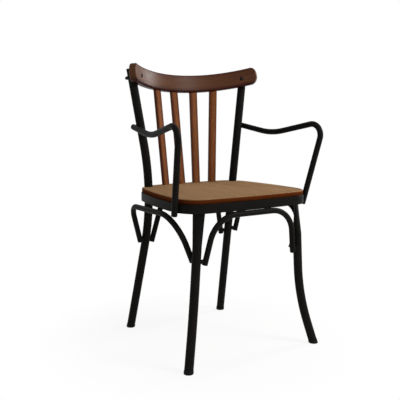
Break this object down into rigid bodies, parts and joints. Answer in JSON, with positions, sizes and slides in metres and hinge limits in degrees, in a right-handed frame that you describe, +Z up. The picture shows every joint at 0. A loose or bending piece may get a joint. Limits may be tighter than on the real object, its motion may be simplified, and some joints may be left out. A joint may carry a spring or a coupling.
{
  "type": "armchair",
  "caption": "Armchair with a black bent-tube frame, arched braces under a flat wooden seat, thin tube arms, wooden back slats and a curved wooden crest rail.",
  "frame": {"origin": "on the floor, in the middle of the space between the four feet", "axes": "+Z up, -Y towards the front of the seat, +X to the right as seen by someone facing the chair's front, with the chair the same on both sides of x = 0"},
  "size_m": [0.4976, 0.4445, 0.8142],
  "materials": {
    "frame_paint": "satin black powder coat on steel",
    "stained_wood": "brown stain under satin lacquer",
    "black_plastic": "matte black moulded plastic",
    "fastener": "blackened steel"
  },
  "bodies": {
    "root": {"seat_ring": "frame_paint", "right_rear_upright": "frame_paint", "left_rear_upright": "frame_paint", "right_front_leg": "frame_paint", "left_front_leg": "frame_paint", "front_arch": "frame_paint", "rear_arch": "frame_paint", "right_arch": "frame_paint", "left_arch": "frame_paint", "arch_stand_offs": "frame_paint", "arch_plugs": "black_plastic", "right_arm": "frame_paint", "left_arm": "frame_paint", "arm_plugs": "black_plastic", "crest_rail": "stained_wood", "right_outer_slat": "stained_wood", "right_inner_slat": "stained_wood", "left_inner_slat": "stained_wood", "left_outer_slat": "stained_wood", "seat_panel": "stained_wood", "front_seat_tab": "frame_paint", "rear_seat_tab": "frame_paint", "right_seat_tab": "frame_paint", "left_seat_tab": "frame_paint", "seat_screws": "fastener", "crest_bolts": "fastener", "crest_nuts": "fastener", "right_post_cap": "black_plastic", "left_post_cap": "black_plastic", "right_front_glide": "black_plastic", "left_front_glide": "black_plastic", "right_rear_glide": "black_plastic", "left_rear_glide": "black_plastic"}
  },
  "joints": []
}
